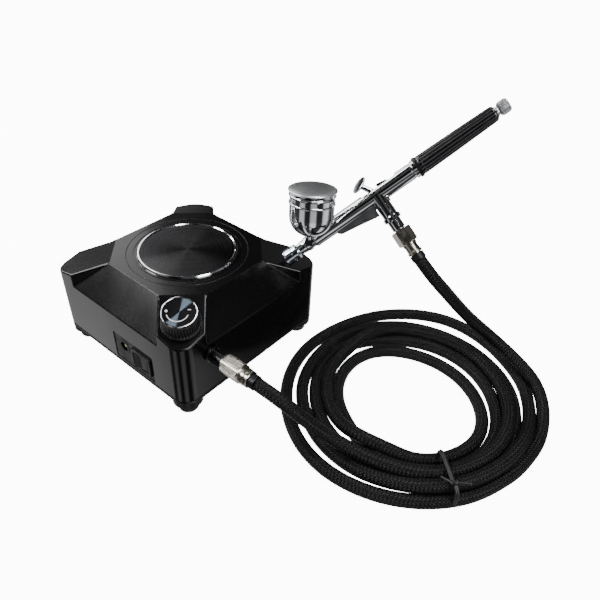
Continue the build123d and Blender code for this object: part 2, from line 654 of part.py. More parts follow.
with BuildPart() as nozzle:
    with BuildSketch(brush_plane):
        with BuildLine():
            Polyline((0.45, 3.2), (0.8, 3.2), (1.5, 8.0), (2.6, 12.0), (2.6, 20.6), (0.8, 20.6), (0.8, 8.0), close=True)
        make_face()
    revolve(axis=brush_axis)
save(nozzle.part, "nozzle")

with BuildPart() as needle:
    with BuildSketch(brush_plane):
        with BuildLine():
            Polyline((0, 2.2), (0.35, 5.0), (0.74, 9.0), (0.74, 132), (0, 132), close=True)
        make_face()
    revolve(axis=brush_axis)
save(needle.part, "needle")

with BuildPart() as needle_chuck:
    with BuildSketch(brush_plane):
        with BuildLine():
            Polyline((0.74, 113.2), (2.6, 113.2), (2.6, 120), (1.8, 122), (0.74, 122), close=True)
        make_face()
    revolve(axis=brush_axis)
save(needle_chuck.part, "needle_chuck")

with BuildPart() as spring_guide:
    with BuildSketch(brush_plane):
        with BuildLine():
            Polyline((0.74, 91.5), (3.2, 91.5), (3.2, 93.0), (2.1, 93.0), (2.1, 113.2), (0.74, 113.2), close=True)
        make_face()
    revolve(axis=brush_axis)
save(spring_guide.part, "spring_guide")

with BuildPart() as needle_spring:
    with BuildLine() as needle_helix:
        Helix(pitch=1.9, height=11.4, radius=2.95, center=tuple(at(97.5)), direction=tuple(along))
    with BuildSketch(Plane(origin=needle_helix.line @ 0, z_dir=needle_helix.line % 0)):
        Circle(0.3)
    sweep(is_frenet=True)
save(needle_spring.part, "needle_spring")

# lever between trigger and spring guide: it rides back with the needle
with BuildPart() as aux_lever:
    with BuildSketch(Plane(origin=at(0, 0, 0), x_dir=up, z_dir=side * -1)):
        with BuildLine():
            Polyline((-2.4, 90.6), (-2.4, 91.5), (2.6, 91.5), (2.6, 89.6), (5.6, 86.0), (6.6, 79.6), (5.6, 78.8), (4.6, 79.4), (3.8, 85.6), (1.4, 88.8), (-2.4, 89.4), close=True)
        make_face()
    extrude(amount=1.5, both=True)
    with BuildSketch(Plane(origin=at(70), x_dir=up, z_dir=along)):
        Circle(0.76)
    extrude(amount=30, mode=Mode.SUBTRACT)
save(aux_lever.part, "aux_lever")

# trigger: hinged on the plunger's clevis, leaning forward, with a slot for the needle
piv_u = -3.2
piv_l = valve_l
with BuildPart() as trigger:
    with BuildSketch(Plane(origin=at(0, 0, 0), x_dir=up, z_dir=side * -1)):
        with BuildLine():
            Polyline((-4.9, piv_l - 0.8), (-4.9, piv_l + 0.8), (-4.2, piv_l + 1.8), (-2.0, piv_l + 2.0), (5.6, piv_l - 0.9), (11.9, piv_l - 3.4), (11.4, piv_l - 6.8), (5.0, piv_l - 4.5), (-3.0, piv_l - 1.9), (-4.4, piv_l - 1.6), close=True)
        make_face()
    extrude(amount=1.9, both=True)
    # oval thumb pad, tilted a little forward
    with BuildSketch(Plane(origin=at(69.6, 11.2), x_dir=side, z_dir=(up - along * 0.15).normalized())):
        Ellipse(5.0, 6.0)
    extrude(amount=1.7)
    # needle window and pivot hole
    with BuildSketch(Plane(origin=at(66), x_dir=up, z_dir=along)):
        with Locations((1.6, 0)):
            SlotOverall(6.0, 2.3)
    extrude(amount=20, mode=Mode.SUBTRACT)
    with BuildSketch(Plane(origin=at(piv_l, piv_u, -5), x_dir=up, z_dir=side)):
        Circle(0.8 + fit_gap)
    extrude(amount=10, mode=Mode.SUBTRACT)
save(trigger.part, "trigger")

with BuildPart() as valve_plunger:
    with BuildSketch(Plane(origin=at(valve_l, -5.6), x_dir=along, z_dir=up * -1)):
        Circle(3.2)
    extrude(amount=1.2)
    with BuildSketch(Plane(origin=at(valve_l, -6.2), x_dir=along, z_dir=up * -1)):
        Circle(1.5)
    extrude(amount=11.3)
    with BuildSketch(Plane(origin=at(valve_l, -5.6), x_dir=along, z_dir=up)):
        with Locations((0, 2.65), (0, -2.65)):
            Rectangle(3.0, 0.9)
    extrude(amount=3.7)
    with BuildSketch(Plane(origin=at(piv_l, piv_u, -3.1), x_dir=up, z_dir=side)):
        Circle(0.8)
    extrude(amount=6.2)
save(valve_plunger.part, "valve_plunger")

with BuildPart() as air_valve_body:
    with BuildSketch(valve_plane):
        with BuildLine():
            Polyline((0, 4.4), (4.6, 4.4), (4.6, 7.5), (5.1, 7.5), (5.1, 16.2), (6.1, 16.8), (6.1, 19.4), (4.5, 20.0), (4.5, 26.6), (3.5, 26.8), (3.5, 36.2), (0, 36.2), close=True)
        make_face()
    revolve(axis=valve_axis)
    with BuildSketch(Plane(origin=at(valve_l, -4), x_dir=along, z_dir=up * -1)):
        Circle(3.6)
    extrude(amount=6.0, mode=Mode.SUBTRACT)
    with BuildSketch(Plane(origin=at(valve_l, -4), x_dir=along, z_dir=up * -1)):
        Circle(1.5 + fit_gap)
    extrude(amount=13, mode=Mode.SUBTRACT)
    with BuildSketch(Plane(origin=at(valve_l, -16.6), x_dir=along, z_dir=up * -1)):
        Circle(2.75)
    extrude(amount=30, mode=Mode.SUBTRACT)
save(air_valve_body.part, "air_valve_body")

with BuildPart() as valve_spring:
    with BuildLine() as valve_helix:
        Helix(pitch=1.5, height=7.5, radius=2.15, center=tuple(at(valve_l, -17.2)), direction=tuple(up * -1))
    with BuildSketch(Plane(origin=valve_helix.line @ 0, z_dir=valve_helix.line % 0)):
        Circle(0.28)
    sweep(is_frenet=True)
save(valve_spring.part, "valve_spring")

with BuildPart() as valve_screw:
    with BuildSketch(valve_plane):
        with BuildLine():
            Polyline((0.9, 26.2), (2.75, 26.2), (2.75, 31.0), (0.9, 31.0), close=True)
        make_face()
    revolve(axis=valve_axis)
save(valve_screw.part, "valve_screw")

with BuildPart() as grip_web:
    with BuildSketch(Plane(origin=at(0, 0, 0), x_dir=up, z_dir=side * -1)):
        with BuildLine():
            Polyline((-4.0, 40.2), (-6.6, 40.6), (-8.2, 42.4), (-10.0, 55.0), (-12.0, 66.6), (-12.6, 72.0), (-4.0, 72.0), close=True)
        make_face()
    extrude(amount=2.1, both=True)
    fillet(grip_web.edges().filter_by(lambda e: e.length > 5 and abs((e.center() - nose).dot(up)) > 6 and (e.center() - nose).dot(along) < 71), radius=1.2)
    with BuildSketch(brush_plane):
        with BuildLine():
            Polyline((0, 30), (5.66, 30), (5.66, 90), (0, 90), close=True)
        make_face()
    revolve(axis=brush_axis, mode=Mode.SUBTRACT)
    with BuildSketch(Plane(origin=at(valve_l, 0), x_dir=along, z_dir=up * -1)):
        Circle(6.11)
    extrude(amount=30, mode=Mode.SUBTRACT)
save(grip_web.part, "grip_web")

# ---- side cup: an elbow along the side axis, then a round-bottomed cup standing nearly upright
cup_dir = Vector(-0.096, 0.126, 0.987).normalized()
elbow_end = at(23.0, 0, 10.4)
cup_bottom = elbow_end + cup_dir * 4.0
cup_x = (side - cup_dir * side.dot(cup_dir)).normalized()
cup_plane = revolve_plane(cup_bottom, cup_dir, cup_x)
cup_axis = Axis(cup_bottom, cup_dir)
with BuildPart() as side_cup:
    with BuildSketch(cup_plane):
        with BuildLine():
            Polyline((0, 0.0), (0, -3.0), (2.6, -3.0), (2.9, 1.0), (0, 1.0), close=True)
        make_face()
        with BuildLine():
            ThreePointArc((0, 0), (cup_r * math.sin(math.radians(45)), cup_r * (1 - math.cos(math.radians(45)))), (cup_r, cup_r))
            Polyline((cup_r, cup_r), (cup_r, 27.4), (cup_r - 1.1, 27.4))
            Line((cup_r - 1.1, 27.4), (cup_r - 1.1, cup_r))
            ThreePointArc((cup_r - 1.1, cup_r), ((cup_r - 1.1) * math.sin(math.radians(45)), cup_r - (cup_r - 1.1) * math.cos(math.radians(45))), (0, 1.1))
            Line((0, 1.1), (0, 0))
        make_face()
    revolve(axis=cup_axis)
    with BuildSketch(Plane(origin=at(23.0, 0, 7.3), x_dir=along, z_dir=side)):
        Circle(3.0)
    extrude(amount=6.2)
    with BuildSketch(Plane(origin=at(23.0, 0, 3.8), x_dir=along, z_dir=side)):
        Circle(2.0)
    extrude(amount=5.3)
    with BuildSketch(cup_plane):
        with BuildLine():
            ThreePointArc((0, 1.1), ((cup_r - 1.1) * math.sin(math.radians(45)), cup_r - (cup_r - 1.1) * math.cos(math.radians(45))), (cup_r - 1.1, cup_r))
            Polyline((cup_r - 1.1, cup_r), (cup_r - 1.1, 28), (0, 28), (0, 1.1))
        make_face()
    revolve(axis=cup_axis, mode=Mode.SUBTRACT)
save(side_cup.part, "side_cup")

with BuildPart() as cup_lid:
    with BuildSketch(cup_plane):
        with BuildLine():
            Polyline((0, 29.0), (cup_r - 1.5, 29.0), (cup_r - 1.5, 24.5), (cup_r - 2.3, 24.5), (cup_r - 2.3, 27.4), (0, 27.4), close=True)
        make_face()
        with BuildLine():
            Polyline((0, 27.8), (cup_r + 1.0, 27.8), (cup_r + 1.0, 29.2), (cup_r + 0.4, 29.6), (cup_r + 0.4, 30.4), (cup_r + 0.8, 30.8), (cup_r + 0.8, 31.6), (cup_r - 0.6, 32.8), (10.0, 34.0), (5.0, 34.7), (0, 34.9), close=True)
        make_face()
    revolve(axis=cup_axis)
save(cup_lid.part, "cup_lid")

# ---- handle
with BuildPart() as handle_ring:
    with BuildSketch(brush_plane):
        with BuildLine():
            Polyline((3.95, 106.3), (6.9, 106.3), (7.1, 106.6), (7.1, 108.4), (6.5, 108.8), (3.95, 108.8), close=True)
        make_face()
    revolve(axis=brush_axis)
save(handle_ring.part, "handle_ring")

h0 = 108.8
h1 = 164.2
with BuildPart() as handle:
    with BuildSketch(brush_plane):
        with BuildLine():
            Polyline((3.95, h0), (6.3, h0), (6.4, h0 + 1.5), (5.6, 135), (4.5, 155), (4.1, h1), (3.2, h1 + 0.6), (3.2, 166.6), (1.5, 166.6), (1.5, 171.0), (0, 171.0), (0, 140), (3.0, 136), (3.95, 134), close=True)
        make_face()
    revolve(axis=brush_axis)
    # long flutes that follow the taper
    for i in range(18):
        an = math.radians(i * 20)
        rad = up * math.cos(an) + side * math.sin(an)
        p0 = nose + along * (h0 + 3) + rad * 6.75
        p1 = nose + along * (h1 - 3) + rad * 4.75
        d = (p1 - p0).normalized()
        with BuildSketch(Plane(origin=p0, z_dir=d)):
            Circle(0.6)
        extrude(amount=(p1 - p0).length, mode=Mode.SUBTRACT)
save(handle.part, "handle")

with BuildPart() as tail_knob:
    with BuildSketch(brush_plane):
        with BuildLine():
            Polyline((1.5 + fit_gap, 167.0), (3.9, 167.0), (4.6, 167.8), (4.7, 169.0), (4.7, 172.4), (4.1, 173.4), (0, 173.5), (0, 171.4), (1.5 + fit_gap, 171.4), close=True)
        make_face()
    revolve(axis=brush_axis)
    with BuildSketch(Plane(origin=at(166.5), x_dir=up, z_dir=along)):
        with PolarLocations(4.85, 28):
            Circle(0.3)
    extrude(amount=8, mode=Mode.SUBTRACT)
save(tail_knob.part, "tail_knob")

print(len(made), "nodes")
print("valve mid", [round(v, 3) for v in tuple(at(valve_l, piv_u))], "swivel point", [round(v, 3) for v in tuple(at(23))])
print("along", [round(v, 5) for v in tuple(along)], "up", [round(v, 5) for v in tuple(up)], "side", [round(v, 5) for v in tuple(side)])
print("hose start", [round(v, 2) for v in tuple(hose_start)], [tuple(round(c, 2) for c in p) for p in rise_pts])
print("knob base", [round(v, 3) for v in tuple(knob_base)], "cup bottom", [round(v, 3) for v in tuple(cup_bottom)])
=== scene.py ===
import bpy
import json
import math
from mathutils import Vector, Matrix


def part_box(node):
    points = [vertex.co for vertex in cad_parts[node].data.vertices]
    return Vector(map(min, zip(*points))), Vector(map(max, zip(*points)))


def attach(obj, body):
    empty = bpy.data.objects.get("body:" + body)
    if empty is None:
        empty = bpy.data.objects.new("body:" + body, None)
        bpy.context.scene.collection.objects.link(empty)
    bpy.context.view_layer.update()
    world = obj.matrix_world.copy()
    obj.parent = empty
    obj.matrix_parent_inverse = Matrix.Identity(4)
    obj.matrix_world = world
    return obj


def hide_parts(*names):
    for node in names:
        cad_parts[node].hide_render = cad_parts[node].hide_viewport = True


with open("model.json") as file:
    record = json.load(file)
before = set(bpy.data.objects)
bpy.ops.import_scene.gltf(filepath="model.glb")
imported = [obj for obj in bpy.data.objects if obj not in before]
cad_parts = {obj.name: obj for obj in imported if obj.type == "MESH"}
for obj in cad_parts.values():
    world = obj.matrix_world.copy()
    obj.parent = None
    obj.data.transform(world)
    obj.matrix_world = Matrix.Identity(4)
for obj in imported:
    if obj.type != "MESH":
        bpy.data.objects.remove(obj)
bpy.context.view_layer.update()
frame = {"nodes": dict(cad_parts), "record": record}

nodes = frame["nodes"]
scene = bpy.context.scene

# ------------------------------------------------------------------ frames, in metres
nose = Vector((0.0546, 0.0412, 0.0703))
along = Vector((0.5101, 0.6041, 0.6123)).normalized()
up_raw = Vector((-0.7738, 0.0115, 0.6333))
up = (up_raw - along * up_raw.dot(along)).normalized()
side = along.cross(up)


def at(l, u=0.0, w=0.0):
    return nose + (along * l + up * u + side * w) * 0.001


knob_dir = Vector((0.2299, -0.2299, 0.9457)).normalized()
knob_base = Vector((0.0502, -0.0502, 0.06604))
knob_x = Vector((1, 1, 0)).normalized()
cup_dir = Vector((-0.096, 0.126, 0.987)).normalized()
cup_bottom = at(23.0, 0, 10.4) + cup_dir * 0.004

# ------------------------------------------------------------------ camera
cam_data = bpy.data.cameras.new("camera")
cam = bpy.data.objects.new("camera", cam_data)
scene.collection.objects.link(cam)
cam_r = Vector((0.7667, 0.6408, 0.0410))
cam_u = Vector((-0.4221, 0.4549, 0.7841))
cam_f = Vector((-0.4838, 0.6185, -0.6192))
rot = Matrix((cam_r, cam_u, -cam_f)).transposed().to_4x4()
cam.matrix_world = Matrix.Translation(Vector((0.2706, -0.2166, 0.29985))) @ rot
cam_data.lens = 34.99
cam_data.sensor_width = 36
cam_data.clip_start = 0.01
scene.camera = cam

# ------------------------------------------------------------------ materials


class Mat:
    def __init__(self, name, color, rough=0.4, metal=0.0, coat=0.0, coat_rough=0.05, spec=0.5):
        self.m = bpy.data.materials.new(name)
        self.m.use_nodes = True
        self.t = self.m.node_tree
        self.b = self.t.nodes.get("Principled BSDF")
        self.set("Base Color", (*color, 1))
        self.set("Roughness", rough)
        self.set("Metallic", metal)
        self.set("Coat Weight", coat)
        self.set("Coat Roughness", coat_rough)
        self.set("Specular IOR Level", spec)

    def set(self, k, v):
        if k in self.b.inputs:
            self.b.inputs[k].default_value = v

    def node(self, kind, **kw):
        n = self.t.nodes.new(kind)
        for k, v in kw.items():
            setattr(n, k, v)
        return n

    def link(self, a, b):
        self.t.links.new(a, b)

    def math(self, op, a, b=None):
        n = self.node("ShaderNodeMath", operation=op)
        for i, v in enumerate((a, b)):
            if v is None:
                continue
            if isinstance(v, (int, float)):
                n.inputs[i].default_value = v
            else:
                self.link(v, n.inputs[i])
        return n.outputs[0]

    def coords(self):
        return self.node("ShaderNodeTexCoord").outputs["Object"]

    def noise(self, scale, detail=3.0, vec=None):
        n = self.node("ShaderNodeTexNoise")
        n.inputs["Scale"].default_value = scale
        n.inputs["Detail"].default_value = detail
        self.link(vec if vec is not None else self.coords(), n.inputs["Vector"])
        return n.outputs["Fac"]

    def ramp(self, fac, a, b, lo=0.0, hi=1.0):
        n = self.node("ShaderNodeMapRange")
        n.inputs["From Min"].default_value = lo
        n.inputs["From Max"].default_value = hi
        n.inputs["To Min"].default_value = a
        n.inputs["To Max"].default_value = b
        self.link(fac, n.inputs["Value"])
        return n.outputs[0]

    def mix(self, fac, c0, c1):
        n = self.node("ShaderNodeMix", data_type="RGBA")
        self.link(fac, n.inputs["Factor"])
        n.inputs["A"].default_value = (*c0, 1)
        n.inputs["B"].default_value = (*c1, 1)
        return n.outputs["Result"]

    def bump(self, height, strength=0.2, dist=0.0002):
        n = self.node("ShaderNodeBump")
        n.inputs["Strength"].default_value = strength
        n.inputs["Distance"].default_value = dist
        self.link(height, n.inputs["Height"])
        self.link(n.outputs[0], self.b.inputs["Normal"])

    def rough_from(self, fac, a, b):
        self.link(self.ramp(fac, a, b, 0.3, 0.7), self.b.inputs["Roughness"])


def worn(m, scale, a, b, bump=0.0, dist=0.0001):
    # fine uneven finish: roughness wanders between a and b, with an optional grain
    f = m.noise(scale)
    m.rough_from(f, a, b)
    if bump:
        m.bump(m.noise(scale * 14, 4), bump, dist)
    return m


def along_coord(m, origin, direction):
    # distance along a line through origin, in metres
    sub = m.node("ShaderNodeVectorMath", operation="SUBTRACT")
    m.link(m.coords(), sub.inputs[0])
    sub.inputs[1].default_value = origin
    dot = m.node("ShaderNodeVectorMath", operation="DOT_PRODUCT")
    m.link(sub.outputs[0], dot.inputs[0])
    dot.inputs[1].default_value = direction
    return dot.outputs["Value"]


def angle_about(m, origin, x_dir, y_dir):
    return m.math("ARCTAN2", along_coord(m, origin, y_dir), along_coord(m, origin, x_dir))


def radius_about(m, origin, x_dir, y_dir):
    a = along_coord(m, origin, x_dir)
    b = along_coord(m, origin, y_dir)
    return m.math("SQRT", m.math("ADD", m.math("MULTIPLY", a, a), m.math("MULTIPLY", b, b)))


def spun(m, origin, x_dir, y_dir, lines, strength, radial=True, dist=0.00005):
    # fine machining lines: radial spokes of brushing, or turned rings
    comb = m.node("ShaderNodeCombineXYZ")
    ang = angle_about(m, origin, x_dir, y_dir)
    rad = radius_about(m, origin, x_dir, y_dir)
    if radial:
        m.link(m.math("MULTIPLY", ang, lines), comb.inputs[0])
        m.link(m.math("MULTIPLY", rad, 30.0), comb.inputs[1])
    else:
        m.link(m.math("MULTIPLY", rad, lines), comb.inputs[0])
        m.link(m.math("MULTIPLY", ang, 0.3), comb.inputs[1])
    n = m.noise(1.0, 4, comb.outputs[0])
    m.bump(n, strength, dist)
    return n


M = {}
M["piano_black"] = worn(Mat("piano_black", (0.0030, 0.0030, 0.0034), 0.10, 0, 0.12, 0.08, 0.30), 30, 0.17, 0.24, 0.02, 0.00005)
M["black_base"] = worn(Mat("black_base", (0.006, 0.006, 0.007), 0.42, spec=0.25), 60, 0.34, 0.5, 0.25)
M["foot_rubber"] = worn(Mat("foot_rubber", (0.014, 0.014, 0.014), 0.7), 90, 0.6, 0.8, 0.4)
M["zinc_screw"] = worn(Mat("zinc_screw", (0.55, 0.55, 0.56), 0.3, 1.0), 200, 0.25, 0.4)
disc = Mat("disc_black", (0.030, 0.030, 0.033), 0.30, 1.0)
disc.set("Anisotropic", 0.75)
tg = disc.node("ShaderNodeTangent", direction_type="RADIAL", axis="Z")
disc.link(tg.outputs[0], disc.b.inputs["Tangent"])
g = spun(disc, (0, 0, 0.0733), (1, 0, 0), (0, 1, 0), 5200, 0.35, radial=False, dist=0.00002)
disc.link(disc.mix(disc.ramp(g, 0, 1, 0.35, 0.65), (0.012, 0.012, 0.013), (0.040, 0.040, 0.043)), disc.b.inputs["Base Color"])
disc.rough_from(g, 0.24, 0.36)
# painted highlight: two opposite sectors of the disc's colour are lightened towards grey, standing in for the
# reflection wedges of the brushed metal
disc_highlight_sectors = disc.math("COSINE", disc.math("MULTIPLY", disc.math("SUBTRACT", angle_about(disc, (0, 0, 0.0733), (1, 0, 0), (0, 1, 0)), math.radians(95)), 2.0))
disc_painted_highlight_mix = disc.node("ShaderNodeMix", data_type="RGBA")
disc.link(disc.ramp(disc_highlight_sectors, 0.0, 0.75, 0.35, 1.0), disc_painted_highlight_mix.inputs["Factor"])
disc.link(disc.b.inputs["Base Color"].links[0].from_socket, disc_painted_highlight_mix.inputs["A"])
disc_painted_highlight_mix.inputs["B"].default_value = (0.075, 0.074, 0.076, 1)
disc.link(disc_painted_highlight_mix.outputs["Result"], disc.b.inputs["Base Color"])
M["disc_black"] = disc
M["bright_ring"] = worn(Mat("bright_ring", (0.86, 0.87, 0.89), 0.08, 1.0), 120, 0.05, 0.14)
M["knob_black"] = worn(Mat("knob_black", (0.007, 0.007, 0.008), 0.36, 0, 0.1, 0.2, 0.4), 120, 0.3, 0.5, 0.3)
kd = Mat("knob_disc", (0.05, 0.05, 0.055), 0.3, 1.0)
kd_y = knob_dir.cross(knob_x)
g = spun(kd, tuple(knob_base), tuple(knob_x), tuple(kd_y), 60, 0.25)
kd.link(kd.mix(kd.ramp(g, 0, 1, 0.3, 0.7), (0.006, 0.006, 0.007), (0.035, 0.035, 0.038)), kd.b.inputs["Base Color"])
# painted highlight: two opposite sectors of the knob face are lightened to a blue-grey, standing in for its
# reflection wedges
knob_highlight_sectors = kd.math("COSINE", kd.math("MULTIPLY", kd.math("SUBTRACT", angle_about(kd, tuple(knob_base), tuple(knob_x), tuple(kd_y)), math.radians(62)), 2.0))
knob_painted_highlight_mix = kd.node("ShaderNodeMix", data_type="RGBA")
kd.link(kd.ramp(knob_highlight_sectors, 0.0, 1.0, 0.70, 0.92), knob_painted_highlight_mix.inputs["Factor"])
kd.link(kd.b.inputs["Base Color"].links[0].from_socket, knob_painted_highlight_mix.inputs["A"])
knob_painted_highlight_mix.inputs["B"].default_value = (0.26, 0.34, 0.43, 1)
kd.link(knob_painted_highlight_mix.outputs["Result"], kd.b.inputs["Base Color"])
M["knob_disc"] = kd
M["port_black"] = worn(Mat("port_black", (0.006, 0.006, 0.007), 0.35, spec=0.3), 150, 0.3, 0.48, 0.3)
M["rocker_black"] = worn(Mat("rocker_black", (0.009, 0.009, 0.010), 0.22, 0, 0.3, 0.1, 0.4), 80, 0.16, 0.3)
M["contact_metal"] = Mat("contact_metal", (0.78, 0.66, 0.4), 0.2, 1.0)
M["fitting_dark"] = worn(Mat("fitting_dark", (0.07, 0.07, 0.075), 0.3, 1.0), 200, 0.22, 0.38)
nk = worn(Mat("nickel", (0.50, 0.475, 0.42), 0.18, 1.0), 260, 0.16, 0.32, 0.08)
M["nickel"] = nk
M["crimp_black"] = worn(Mat("crimp_black", (0.02, 0.02, 0.022), 0.36, 0.6), 200, 0.3, 0.44)
M["tie_black"] = worn(Mat("tie_black", (0.012, 0.012, 0.012), 0.45), 200, 0.35, 0.5)
for k, c in (("motor_steel", (0.6, 0.6, 0.6)), ("steel", (0.62, 0.62, 0.63)), ("cast_alloy", (0.58, 0.59, 0.6))):
    M[k] = worn(Mat(k, c, 0.3, 1.0), 150, 0.24, 0.42, 0.1)
M["piston_white"] = worn(Mat("piston_white", (0.75, 0.75, 0.72), 0.4), 80, 0.35, 0.5)
M["circuit_green"] = worn(Mat("circuit_green", (0.02, 0.16, 0.06), 0.3, 0, 0.3), 200, 0.25, 0.4)
M["silicone"] = worn(Mat("silicone", (0.7, 0.72, 0.74), 0.3), 80, 0.25, 0.4)
M["regulator_brass"] = worn(Mat("regulator_brass", (0.72, 0.53, 0.26), 0.25, 1.0), 150, 0.2, 0.34)
ch = Mat("brush_chrome", (0.80, 0.815, 0.835), 0.07, 1.0)
M["brush_chrome"] = worn(ch, 300, 0.045, 0.12)
M["cap_chrome"] = worn(Mat("cap_chrome", (0.70, 0.755, 0.83), 0.1, 1.0), 300, 0.07, 0.16)
M["web_grey"] = worn(Mat("web_grey", (0.16, 0.165, 0.17), 0.28, 1.0), 150, 0.34, 0.5, 0.2)
cs = Mat("cup_satin", (0.80, 0.825, 0.83), 0.34, 1.0)
g = spun(cs, tuple(cup_bottom), tuple(along.cross(cup_dir).normalized()), tuple(cup_dir.cross(along.cross(cup_dir)).normalized()), 2600, 0.22, radial=False)
cs.rough_from(g, 0.28, 0.42)
M["cup_satin"] = cs
hb = Mat("handle_black", (0.006, 0.006, 0.007), 0.16, 0, 0.5, 0.06, 0.6)
# painted highlight: thin lighter lines along the crest of each flute, standing in for the light caught by the flutes
flute_painted_highlight = hb.math("COSINE", hb.math("MULTIPLY", angle_about(hb, tuple(nose), tuple(up), tuple(side)), 18.0))
hb.link(hb.mix(hb.ramp(flute_painted_highlight, 0.0, 1.0, 0.90, 1.0), (0.003, 0.003, 0.0035), (0.10, 0.10, 0.105)), hb.b.inputs["Base Color"])
M["handle_black"] = worn(hb, 200, 0.12, 0.24)
M["handle_dark"] = worn(Mat("handle_dark", (0.02, 0.02, 0.022), 0.25, 0.6), 200, 0.2, 0.34)
M["tail_grey"] = worn(Mat("tail_grey", (0.66, 0.67, 0.69), 0.2, 1.0), 200, 0.2, 0.36)

# braided sleeve: the tube's own UV runs round it and along it
br = Mat("braid", (0.006, 0.006, 0.006), 0.42, 0, 0.0, 0.2, 0.24)
uv = br.node("ShaderNodeTexCoord").outputs["UV"]
sep = br.node("ShaderNodeSeparateXYZ")
br.link(uv, sep.inputs[0])
U, V = sep.outputs[0], sep.outputs[1]
M["braid"] = br
BRAID = (br, U, V)

for name, obj in nodes.items():
    slots = {s["node"]: s["material_slot"] for s in frame["record"]["subparts"]}
    m = M.get(slots.get(name, ""), None)
    if m is None:
        continue
    if not obj.material_slots:
        obj.data.materials.append(m.m)
    for s in obj.material_slots:
        s.material = m.m

